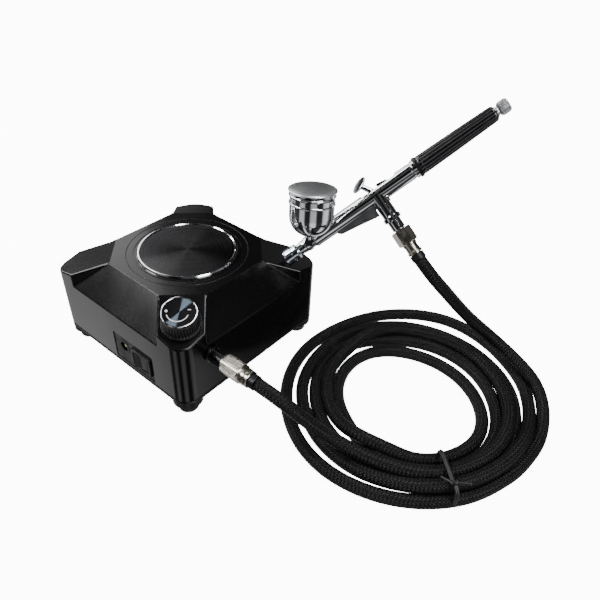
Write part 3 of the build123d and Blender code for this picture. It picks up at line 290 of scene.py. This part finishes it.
# ------------------------------------------------------------------ hose
hose_d = 0.0086
route = [
    (0.1050, -0.0420, 0.0460), (0.1158, -0.0409, 0.0442), (0.1255, -0.0386, 0.0398), (0.1340, -0.0353, 0.0336), (0.1422, -0.0315, 0.0271),
    (0.1508, -0.0276, 0.0215), (0.1603, -0.0238, 0.0174), (0.1704, -0.0203, 0.0145), (0.1808, -0.0167, 0.0131), (0.1912, -0.0126, 0.0126),
    (0.2008, -0.0074, 0.0124), (0.2092, -0.0006, 0.0122), (0.2162, 0.0075, 0.0120), (0.2238, 0.0217, 0.0119), (0.2283, 0.0372, 0.0115),
    (0.2281, 0.0533, 0.0114), (0.2244, 0.0687, 0.0109), (0.2169, 0.0826, 0.0099), (0.2062, 0.0955, 0.0089), (0.1921, 0.1051, 0.0084),
    (0.1769, 0.1111, 0.0084), (0.1605, 0.1123, 0.0081), (0.1439, 0.1096, 0.0078), (0.1281, 0.1020, 0.0081), (0.1159, 0.0902, 0.0101),
    (0.1092, 0.0743, 0.0129), (0.1067, 0.0577, 0.0101), (0.1066, 0.0422, 0.0089), (0.1095, 0.0267, 0.0090), (0.1179, 0.0127, 0.0089),
    (0.1295, 0.0008, 0.0084), (0.1444, -0.0068, 0.0093), (0.1614, -0.0083, 0.0126), (0.1777, -0.0021, 0.0087), (0.1913, 0.0037, 0.0046),
    (0.2028, 0.0128, 0.0043), (0.2110, 0.0263, 0.0043), (0.2152, 0.0418, 0.0043), (0.2129, 0.0575, 0.0043), (0.2044, 0.0714, 0.0043),
    (0.1918, 0.0820, 0.0043), (0.1766, 0.0884, 0.0043), (0.1602, 0.0898, 0.0043), (0.1440, 0.0866, 0.0043), (0.1293, 0.0789, 0.0043),
    (0.1184, 0.0668, 0.0043), (0.1137, 0.0513, 0.0043), (0.1150, 0.0351, 0.0043), (0.1215, 0.0202, 0.0043), (0.1320, 0.0086, 0.0043),
    (0.1452, 0.0003, 0.0043), (0.1597, -0.0062, 0.0043), (0.1761, -0.0098, 0.0043), (0.1927, -0.0048, 0.0046), (0.2071, 0.0047, 0.0048),
    (0.2170, 0.0184, 0.0044), (0.2229, 0.0336, 0.0043), (0.2234, 0.0502, 0.0043), (0.2191, 0.0661, 0.0043), (0.2106, 0.0802, 0.0043),
    (0.1994, 0.0916, 0.0043), (0.1861, 0.0998, 0.0043), (0.1704, 0.1042, 0.0043), (0.1541, 0.1038, 0.0043), (0.1391, 0.0994, 0.0043),
    (0.1260, 0.0911, 0.0043), (0.1140, 0.0801, 0.0043), (0.1039, 0.0672, 0.0043), (0.0994, 0.0504, 0.0043), (0.1005, 0.0331, 0.0043),
    (0.1055, 0.0174, 0.0043), (0.1150, 0.0041, 0.0043), (0.1275, -0.0068, 0.0043), (0.1423, -0.0141, 0.0043), (0.1586, -0.0174, 0.0043),
    (0.1752, -0.0182, 0.0043), (0.1910, -0.0154, 0.0043), (0.2056, -0.0078, 0.0043), (0.2181, 0.0038, 0.0043), (0.2267, 0.0179, 0.0043),
    (0.2318, 0.0340, 0.0043), (0.2333, 0.0509, 0.0043), (0.2301, 0.0677, 0.0043), (0.2239, 0.0832, 0.0043), (0.2148, 0.0973, 0.0043),
    (0.2024, 0.1080, 0.0043), (0.1874, 0.1157, 0.0043), (0.1712, 0.1200, 0.0043), (0.1547, 0.1202, 0.0043), (0.1385, 0.1168, 0.0043),
    (0.1234, 0.1101, 0.0043), (0.1106, 0.0999, 0.0043), (0.1006, 0.0867, 0.0043), (0.0939, 0.0716, 0.0043), (0.0905, 0.0555, 0.0043),
    (0.0907, 0.0389, 0.0043), (0.0943, 0.0225, 0.0043), (0.1012, 0.0071, 0.0043), (0.1119, -0.0055, 0.0043), (0.1255, -0.0156, 0.0044),
    (0.1408, -0.0227, 0.0047), (0.1569, -0.0260, 0.0055), (0.1733, -0.0265, 0.0074), (0.1900, -0.0227, 0.0095), (0.2050, -0.0152, 0.0110),
    (0.2174, -0.0043, 0.0116), (0.2278, 0.0094, 0.0116), (0.2344, 0.0248, 0.0120), (0.2382, 0.0406, 0.0114), (0.2390, 0.0570, 0.0107),
    (0.2363, 0.0730, 0.0079), (0.2319, 0.0879, 0.0049), (0.2248, 0.1018, 0.0043), (0.2147, 0.1144, 0.0043), (0.2014, 0.1241, 0.0043),
    (0.1869, 0.1321, 0.0043), (0.1714, 0.1374, 0.0043), (0.1550, 0.1395, 0.0043), (0.1388, 0.1373, 0.0043), (0.1239, 0.1303, 0.0043),
    (0.1108, 0.1202, 0.0043), (0.0999, 0.1078, 0.0043), (0.0915, 0.0936, 0.0043), (0.0856, 0.0781, 0.0043), (0.0815, 0.0621, 0.0043),
    (0.0800, 0.0456, 0.0043), (0.0816, 0.0292, 0.0043), (0.0864, 0.0134, 0.0043), (0.0943, -0.0011, 0.0043), (0.1048, -0.0138, 0.0043),
    (0.1176, -0.0243, 0.0043), (0.1322, -0.0322, 0.0043), (0.1480, -0.0366, 0.0043), (0.1645, -0.0370, 0.0043), (0.1807, -0.0339, 0.0043),
    (0.1960, -0.0277, 0.0043), (0.2099, -0.0186, 0.0043), (0.2219, -0.0072, 0.0043), (0.2317, 0.0059, 0.0047), (0.2382, 0.0210, 0.0046),
    (0.2436, 0.0372, 0.0051), (0.2455, 0.0540, 0.0048), (0.2455, 0.0714, 0.0046), (0.2413, 0.0875, 0.0058), (0.2349, 0.1009, 0.0077),
    (0.2265, 0.1099, 0.0107), (0.2168, 0.1161, 0.0128), (0.2068, 0.1191, 0.0153), (0.1971, 0.1208, 0.0183), (0.1882, 0.1199, 0.0226),
    (0.1799, 0.1178, 0.0276), (0.1729, 0.1136, 0.0339), (0.1667, 0.1086, 0.0410), (0.1615, 0.1031, 0.0490), (0.1564, 0.0978, 0.0572),
    (0.1509, 0.0928, 0.0654), (0.1447, 0.0884, 0.0733), (0.1370, 0.0864, 0.0809), (0.1327, 0.0864, 0.0844),
]
curve = bpy.data.curves.new("air_hose", "CURVE")
curve.dimensions = "3D"
sp = curve.splines.new("NURBS")
sp.points.add(len(route) - 1)
for p, q in zip(sp.points, route):
    p.co = (*q, 1.0)
sp.order_u = 3
sp.use_endpoint_u = True
curve.resolution_u = 8
line = bpy.data.objects.new("air_hose_line", curve)
scene.collection.objects.link(line)
bpy.context.view_layer.update()
lm = bpy.data.meshes.new_from_object(line)
pts = [v.co.copy() for v in lm.vertices]
bpy.data.objects.remove(line)
length = sum((pts[i + 1] - pts[i]).length for i in range(len(pts) - 1))


def resample(pts, step):
    total = sum((pts[i + 1] - pts[i]).length for i in range(len(pts) - 1))
    n = int(round(total / step))
    step = total / n
    out = [pts[0].copy()]
    acc = 0.0
    i = 0
    seg = (pts[1] - pts[0]).length
    for k in range(1, n):
        want = k * step
        while acc + seg < want and i < len(pts) - 2:
            acc += seg
            i += 1
            seg = (pts[i + 1] - pts[i]).length
        out.append(pts[i].lerp(pts[i + 1], (want - acc) / seg))
    out.append(pts[-1].copy())
    return out


def frames(path):
    # rotation-minimising frames along a polyline
    tang = []
    for i in range(len(path)):
        a = path[max(i - 1, 0)]
        b = path[min(i + 1, len(path) - 1)]
        tang.append((b - a).normalized())
    n = Vector((0, 0, 1))
    n = (n - tang[0] * n.dot(tang[0])).normalized()
    out = []
    for t in tang:
        n = (n - t * n.dot(t)).normalized()
        out.append((t, n.copy(), t.cross(n)))
    return out


def tube(name, path, radius, around, mat, closed_ends=True, uv_len=None):
    fr = frames(path)
    verts, faces, uvs = [], [], []
    for p, (t, n, b) in zip(path, fr):
        for k in range(around):
            a = 2 * math.pi * k / around
            verts.append(p + (n * math.cos(a) + b * math.sin(a)) * radius)
    for i in range(len(path) - 1):
        for k in range(around):
            k2 = (k + 1) % around
            faces.append((i * around + k, i * around + k2, (i + 1) * around + k2, (i + 1) * around + k))
            uvs.append(((k / around, i), ((k + 1) / around, i), ((k + 1) / around, i + 1), (k / around, i + 1)))
    me = bpy.data.meshes.new(name)
    if closed_ends:
        faces.append(tuple(reversed(range(around))))
        faces.append(tuple(range((len(path) - 1) * around, len(path) * around)))
        uvs.append(tuple((0, 0) for _ in range(around)))
        uvs.append(tuple((0, 0) for _ in range(around)))
    me.from_pydata([tuple(v) for v in verts], [], faces)
    lay = me.uv_layers.new(name="UVMap")
    k = 0
    for f in uvs:
        for q in f:
            lay.data[k].uv = q
            k += 1
    for p in me.polygons:
        p.use_smooth = len(p.vertices) == 4
    me.materials.append(mat)
    ob = bpy.data.objects.new(name, me)
    scene.collection.objects.link(ob)
    return ob


path = resample(pts, 0.0024)
hose = tube("air_hose", path, hose_d / 2, 24, br.m)
# braid pattern: U once round, V one unit for each 2.4 mm along
n_round = 14.0
s1 = br.math("ADD", br.math("MULTIPLY", U, n_round), br.math("MULTIPLY", V, 1.05))
s2 = br.math("SUBTRACT", br.math("MULTIPLY", U, n_round), br.math("MULTIPLY", V, 1.05))
f1 = br.math("PINGPONG", s1, 0.5)
f2 = br.math("PINGPONG", s2, 0.5)
c1 = br.math("FLOOR", s1)
c2 = br.math("FLOOR", s2)
over = br.math("MODULO", br.math("ADD", br.math("ADD", c1, c2), 1000.0), 2.0)
h1 = br.math("SINE", br.math("MULTIPLY", f1, math.pi))
h2 = br.math("SINE", br.math("MULTIPLY", f2, math.pi))
mx = br.node("ShaderNodeMix", data_type="FLOAT")
br.link(over, mx.inputs["Factor"])
br.link(h1, mx.inputs["A"])
br.link(h2, mx.inputs["B"])
weave = mx.outputs["Result"]
br.bump(weave, 0.9, 0.0005)
# painted shade: the colour is darker in the hollows between the braid strands and lighter on their crests
br.link(br.mix(br.ramp(weave, 0, 1, 0.25, 0.95), (0.0008, 0.0008, 0.0008), (0.006, 0.006, 0.0064)), br.b.inputs["Base Color"])
br.link(br.ramp(weave, 0.62, 0.36), br.b.inputs["Roughness"])
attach(hose, "compressor")
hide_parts("hose_lead", "hose_coil", "hose_rise")


# ------------------------------------------------------------------ turned pieces


def lathe(name, profile, origin, x_dir, axis, mat, body, replaced=(), n=96, grip=None):
    # profile is (radius, height) in mm; grip = (low, high, count, depth) cuts gripping grooves
    x_dir = (x_dir - axis * x_dir.dot(axis)).normalized()
    y_dir = axis.cross(x_dir)
    verts, faces = [], []
    for r, z in profile:
        for k in range(n):
            a = 2 * math.pi * k / n
            rr = r
            if grip and grip[0] <= z <= grip[1]:
                rr = r - grip[3] * (0.5 - 0.5 * math.cos(a * grip[2])) ** 2
            verts.append(tuple(origin + (x_dir * math.cos(a) * rr + y_dir * math.sin(a) * rr + axis * z) * 0.001))
    for i in range(len(profile) - 1):
        for k in range(n):
            k2 = (k + 1) % n
            faces.append((i * n + k, i * n + k2, (i + 1) * n + k2, (i + 1) * n + k))
    me = bpy.data.meshes.new(name)
    me.from_pydata(verts, [], faces)
    me.update()
    for f in me.polygons:
        f.use_smooth = True
    me.materials.append(mat)
    ob = bpy.data.objects.new(name, me)
    scene.collection.objects.link(ob)
    weld = ob.modifiers.new("weld", "WELD")
    weld.merge_threshold = 0.000001
    bev = ob.modifiers.new("edges", "EDGE_SPLIT")
    bev.split_angle = math.radians(38)
    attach(ob, body)
    if replaced:
        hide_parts(*replaced)
    return ob


def rounded(points, steps=3, size=0.25):
    # eases every corner of a profile so that edges catch the light
    out = [points[0]]
    for i in range(1, len(points) - 1):
        a, b, c = (Vector(points[j]) for j in (i - 1, i, i + 1))
        d = min(size, (b - a).length * 0.4, (c - b).length * 0.4)
        p = b + (a - b).normalized() * d if (a - b).length else b
        q = b + (c - b).normalized() * d if (c - b).length else b
        for k in range(steps + 1):
            t = k / steps
            out.append(tuple((p * (1 - t) + b * t) * (1 - t) + (b * (1 - t) + q * t) * t))
    out.append(points[-1])
    return out


# lid: bright skirt with one bead, thin satin cap on top
lathe("lid_skirt", rounded([(13.2, 24.7), (13.2, 27.9), (14.9, 27.9), (15.45, 28.2), (15.6, 28.6), (15.45, 29.0), (14.95, 29.3), (14.9, 31.0), (14.9, 31.6), (10.0, 31.6)], 3, 0.2),
      cup_bottom, along, cup_dir, M["brush_chrome"].m, "lid")
lathe("lid_cap", rounded([(12.0, 31.2), (15.7, 31.2), (16.1, 31.6), (16.1, 32.1), (15.6, 32.5), (13.5, 33.2), (10.0, 33.95), (5.0, 34.6), (0.01, 34.85)], 4, 0.3),
      cup_bottom, along, cup_dir, M["cup_satin"].m, "lid", ("cup_lid",))
lathe("cup_bead", [(14.7, 22.6), (15.1, 22.75), (15.35, 23.1), (15.4, 23.4), (15.35, 23.7), (15.1, 24.05), (14.7, 24.2)],
      cup_bottom, along, cup_dir, M["brush_chrome"].m, "cup")

# knob: ribbed skirt, bright ring, brushed face with painted highlight wedges
lathe("knob_shell", rounded([(3.2, 0.5), (12.7, 0.5), (12.7, 2.4), (12.1, 3.2), (11.9, 4.0), (11.7, 6.0), (11.5, 8.0), (11.35, 10.0), (11.2, 11.6), (11.2, 12.6), (11.0, 13.8), (10.7, 14.15), (10.1, 14.15), (9.9, 13.75), (3.2, 13.7)], 3, 0.3),
      knob_base, knob_x, knob_dir, M["knob_black"].m, "knob", ("knob_body",), n=360, grip=(3.1, 11.7, 40, 0.75))
lathe("knob_ring", [(10.05, 13.9), (10.1, 14.2), (10.3, 14.4), (10.55, 14.45), (10.8, 14.35), (10.9, 14.1)],
      knob_base, knob_x, knob_dir, M["bright_ring"].m, "knob")
lathe("knob_plate", [(10.1, 13.72), (10.0, 13.85), (6.0, 13.87), (0.01, 13.87)],
      knob_base, knob_x, knob_dir, M["knob_disc"].m, "knob", ("knob_face",))
paint = Mat("mark_white", (0.78, 0.78, 0.76), 0.45)
paint = worn(paint, 400, 0.4, 0.55)


def knob_xy(x, y, h=13.87):
    return knob_base + (knob_x * x + kd_y * y + knob_dir * h) * 0.001


def mark(name, lines, width):
    # raised printed strokes on the knob's face, each a ribbon with a crowned top
    verts, faces = [], []
    for pts2 in lines:
        base = len(verts)
        n = len(pts2)
        for i, (x, y) in enumerate(pts2):
            x0, y0 = pts2[max(i - 1, 0)]
            x1, y1 = pts2[min(i + 1, n - 1)]
            d = Vector((x1 - x0, y1 - y0)).normalized()
            nx, ny = -d.y, d.x
            for o, h in ((-0.5, 13.86), (-0.36, 13.97), (0.0, 14.0), (0.36, 13.97), (0.5, 13.86)):
                verts.append(tuple(knob_xy(x + nx * width * o, y + ny * width * o, h)))
        for i in range(n - 1):
            for k in range(4):
                faces.append((base + i * 5 + k, base + i * 5 + k + 1, base + i * 5 + k + 6, base + i * 5 + k + 5))
    me = bpy.data.meshes.new(name)
    me.from_pydata(verts, [], faces)
    for f in me.polygons:
        f.use_smooth = True
    me.materials.append(paint.m)
    ob = bpy.data.objects.new(name, me)
    scene.collection.objects.link(ob)
    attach(ob, "knob")
    return ob


mark("knob_plus", [[(-8.6, 1.0), (-6.6, 1.0)], [(-7.6, 0.0), (-7.6, 2.0)]], 0.62)
mark("knob_minus", [[(4.9, 1.6), (6.9, 1.6)]], 0.62)
arc = [(-1.0 + 6.6 * math.cos(math.radians(a)), 0.2 + 6.6 * math.sin(math.radians(a))) for a in range(196, 343, 4)]
mark("knob_arc", [arc], 0.62)

# handle: fluted grip with a bright neck behind it
lathe("handle_grip", rounded([(3.96, 108.85), (6.35, 108.85), (6.5, 109.4), (6.5, 111.0), (6.35, 120.0), (6.05, 135.0), (5.65, 150.0), (5.35, 161.0), (5.2, 163.4), (4.7, 164.2), (3.3, 164.4)], 3, 0.4),
      nose, up, along, M["handle_black"].m, "compressor", ("handle",), n=216, grip=(111.0, 161.5, 18, 0.45))
lathe("handle_neck", rounded([(3.0, 164.3), (3.6, 164.5), (3.7, 165.2), (2.9, 165.7), (2.7, 166.7), (1.6, 166.85)], 3, 0.2),
      nose, up, along, M["brush_chrome"].m, "compressor")

# trigger: bent stem and a domed thumb pad turned a little outward
pad_n = (up * 0.84 - along * 0.34 + side * 0.42).normalized()
pad_c = at(69.9, 12.2, 0.3)
lathe("trigger_pad", rounded([(0.01, -2.2), (1.7, -2.0), (2.3, -1.3), (5.2, -0.75), (6.1, -0.25), (6.3, 0.3), (5.9, 0.75), (4.4, 0.95), (2.4, 1.15), (0.01, 1.2)], 3, 0.4),
      pad_c, side, pad_n, M["brush_chrome"].m, "trigger_arm", ("trigger",))
stem = [at(75.8, -4.0), at(75.9, -2.0), at(75.2, 2.0), at(74.0, 5.0), at(72.3, 8.0), at(70.6, 10.8, 0.1)]
stem_path = resample([stem[i].lerp(stem[i + 1], k / 6) for i in range(len(stem) - 1) for k in range(6)] + [stem[-1]], 0.0008)
st = tube("trigger_stem", stem_path, 0.0019, 24, M["brush_chrome"].m)
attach(st, "trigger_arm")

# tie: a coated wire wound twice round the bundle, its ends twisted and left standing
lo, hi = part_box("coil_tie")
tie_c = Vector(((lo[0] + hi[0]) / 2, (lo[1] + hi[1]) / 2, 0.0096))
tx = Vector((math.cos(math.radians(317)), math.sin(math.radians(317)), 0))
tt = Vector((-tx.y, tx.x, 0))


def tie_point(a, grow, shift):
    # rounded-rectangle loop round the strands
    c, q = math.cos(a), math.sin(a)
    ex = 0.45
    x = math.copysign(abs(c) ** ex, c) * (15.2 + grow)
    z = math.copysign(abs(q) ** ex, q) * (8.3 + grow * 0.6)
    return tie_c + (tx * x + tt * shift) * 0.001 + Vector((0, 0, z * 0.001))


loop = [tie_point(2 * math.pi * k / 60 + 1.2, 0.0 if k < 60 else 0.35, -0.8 + 1.9 * k / 120) for k in range(121)]
top = tie_point(1.2, 0.2, 0.0)
tail_a = [top + (tt * (1.2 + 0.9 * k) + tx * (0.35 * k * (1 if k % 2 else 1.3)) + Vector((0, 0, 0.9 + 0.28 * k))) * 0.001 for k in range(9)]
tail_b = [top + (tt * (-1.2 - 0.8 * k) + tx * (-0.4 * k) + Vector((0, 0, 0.9 + 0.30 * k))) * 0.001 for k in range(9)]
tie = tube("hose_tie", resample(loop, 0.0012), 0.00085, 12, M["tie_black"].m)
ends = []
for nm, tail in (("hose_tie_end_a", tail_a), ("hose_tie_end_b", tail_b)):
    e = tube(nm, resample(tail, 0.0008), 0.0008, 12, M["tie_black"].m)
    ends.append(e)
twist = []
for k in range(40):
    a = k / 39 * 3.2 * math.pi
    twist.append(top + (tx * math.cos(a) * 0.9 + Vector((0, 0, math.sin(a) * 0.7 + 0.9)) + tt * (-2.4 + 4.8 * k / 39)) * 0.001)
ends.append(tube("hose_tie_twist", resample(twist, 0.0008), 0.0008, 12, M["tie_black"].m))
for e in [tie] + ends:
    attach(e, "compressor")
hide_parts("coil_tie")

# thin second line round the top disc
lathe("disc_outline", [(41.6, -0.05), (41.7, 0.08), (41.85, 0.12), (42.0, 0.08), (42.1, -0.05)],
      Vector((0, 0, 0.0731)), Vector((1, 0, 0)), Vector((0, 0, 1)), M["port_black"].m, "compressor", n=160)

# ------------------------------------------------------------------ floor, light
floor_mesh = bpy.data.meshes.new("floor")
floor_mesh.from_pydata([(-6, -6, 0), (6, -6, 0), (6, 6, 0), (-6, 6, 0)], [], [(0, 1, 2, 3)])
floor = bpy.data.objects.new("floor", floor_mesh)
floor.location = (0, 0, -0.0002)
scene.collection.objects.link(floor)
fm = Mat("floor_white", (0.9, 0.9, 0.9), 0.9)
fm.set("Specular IOR Level", 0.0)
fm.set("Emission Color", (1, 1, 1, 1))
fm.set("Emission Strength", 11.0)
floor_mesh.materials.append(fm.m)
floor.visible_glossy = False
floor.visible_diffuse = False

# a bounce of the table seen only in reflections, much dimmer than the lit sweep
world = bpy.data.worlds.new("studio")
scene.world = world
world.use_nodes = True
wt = world.node_tree
bg = wt.nodes.get("Background")
tc = wt.nodes.new("ShaderNodeTexCoord")
sx = wt.nodes.new("ShaderNodeSeparateXYZ")
wt.links.new(tc.outputs["Generated"], sx.inputs[0])
cr = wt.nodes.new("ShaderNodeValToRGB")
bands = ((0.0, 1.1), (0.34, 0.95), (0.46, 0.06), (0.56, 0.02), (0.66, 0.45), (0.76, 0.08), (1.0, 0.04))
els = cr.color_ramp.elements
els[0].position, els[0].color = bands[0][0], (bands[0][1],) * 3 + (1,)
els[1].position, els[1].color = bands[-1][0], (bands[-1][1],) * 3 + (1,)
for pos, v in bands[1:-1]:
    e = els.new(pos)
    e.color = (v, v, v * 1.01, 1)
mr = wt.nodes.new("ShaderNodeMapRange")
mr.inputs["From Min"].default_value = -1.0
mr.inputs["From Max"].default_value = 1.0
wt.links.new(sx.outputs[2], mr.inputs["Value"])
wt.links.new(mr.outputs[0], cr.inputs["Fac"])
at2 = wt.nodes.new("ShaderNodeMath")
at2.operation = "ARCTAN2"
wt.links.new(sx.outputs[1], at2.inputs[0])
wt.links.new(sx.outputs[0], at2.inputs[1])
ma = wt.nodes.new("ShaderNodeMapRange")
ma.inputs["From Min"].default_value = -math.pi
ma.inputs["From Max"].default_value = math.pi
wt.links.new(at2.outputs[0], ma.inputs["Value"])
ar = wt.nodes.new("ShaderNodeValToRGB")
wt.links.new(ma.outputs[0], ar.inputs["Fac"])
sectors = ((0.0, 1.0), (0.09, 1.0), (0.11, 0.05), (0.18, 0.05), (0.20, 0.85), (0.25, 1.0), (0.27, 0.04), (0.33, 0.04), (0.35, 1.0), (0.41, 1.0), (0.43, 0.04), (0.50, 0.04), (0.53, 0.9), (0.60, 1.0), (0.62, 0.05), (0.69, 0.05), (0.72, 0.9), (0.80, 0.8), (0.83, 0.06), (0.88, 0.06), (0.91, 1.0), (1.0, 1.0))
els = ar.color_ramp.elements
els[0].position, els[0].color = 0.0, (1, 1, 1, 1)
els[1].position, els[1].color = 1.0, (1, 1, 1, 1)
for pos, v in sectors[1:-1]:
    e = els.new(pos)
    e.color = (v, v, v, 1)
mm = wt.nodes.new("ShaderNodeMix")
mm.data_type = "RGBA"
mm.blend_type = "MULTIPLY"
mm.inputs["Factor"].default_value = 1.0
wt.links.new(cr.outputs[0], mm.inputs["A"])
wt.links.new(ar.outputs[0], mm.inputs["B"])
wt.links.new(mm.outputs["Result"], bg.inputs["Color"])
# beyond the floor's edge the room itself is plain white
plain = wt.nodes.new("ShaderNodeBackground")
plain.inputs["Color"].default_value = (1, 1, 1, 1)
plain.inputs["Strength"].default_value = 11.0
lp = wt.nodes.new("ShaderNodeLightPath")
sw = wt.nodes.new("ShaderNodeMixShader")
wt.links.new(lp.outputs["Is Camera Ray"], sw.inputs[0])
wt.links.new(bg.outputs[0], sw.inputs[1])
wt.links.new(plain.outputs[0], sw.inputs[2])
wt.links.new(sw.outputs[0], wt.nodes["World Output"].inputs["Surface"])

bg.inputs["Strength"].default_value = 1.0


def area(name, loc, target, size, power, size_y=None):
    ld = bpy.data.lights.new(name, "AREA")
    ld.energy = power
    ld.size = size
    if size_y:
        ld.shape = "RECTANGLE"
        ld.size_y = size_y
    lo = bpy.data.objects.new(name, ld)
    scene.collection.objects.link(lo)
    lo.location = loc
    lo.rotation_euler = (Vector(target) - Vector(loc)).to_track_quat("-Z", "Y").to_euler()
    return lo


area("key", (-0.75, -0.75, 0.95), (0.05, 0, 0.03), 0.55, 13, 0.55)
area("right", (1.15, -0.15, 0.75), (0.08, 0, 0.03), 0.5, 12, 0.7)
area("top", (0.25, 0.15, 1.35), (0.08, 0.05, 0.05), 0.9, 12, 0.35)
area("back", (-0.95, 0.45, 0.75), (0.05, 0, 0.05), 0.30, 2.0, 0.8)
area("strip", (-1.04, -0.10, 0.72), (0.1, 0.09, 0.1), 0.22, 7, 0.9)
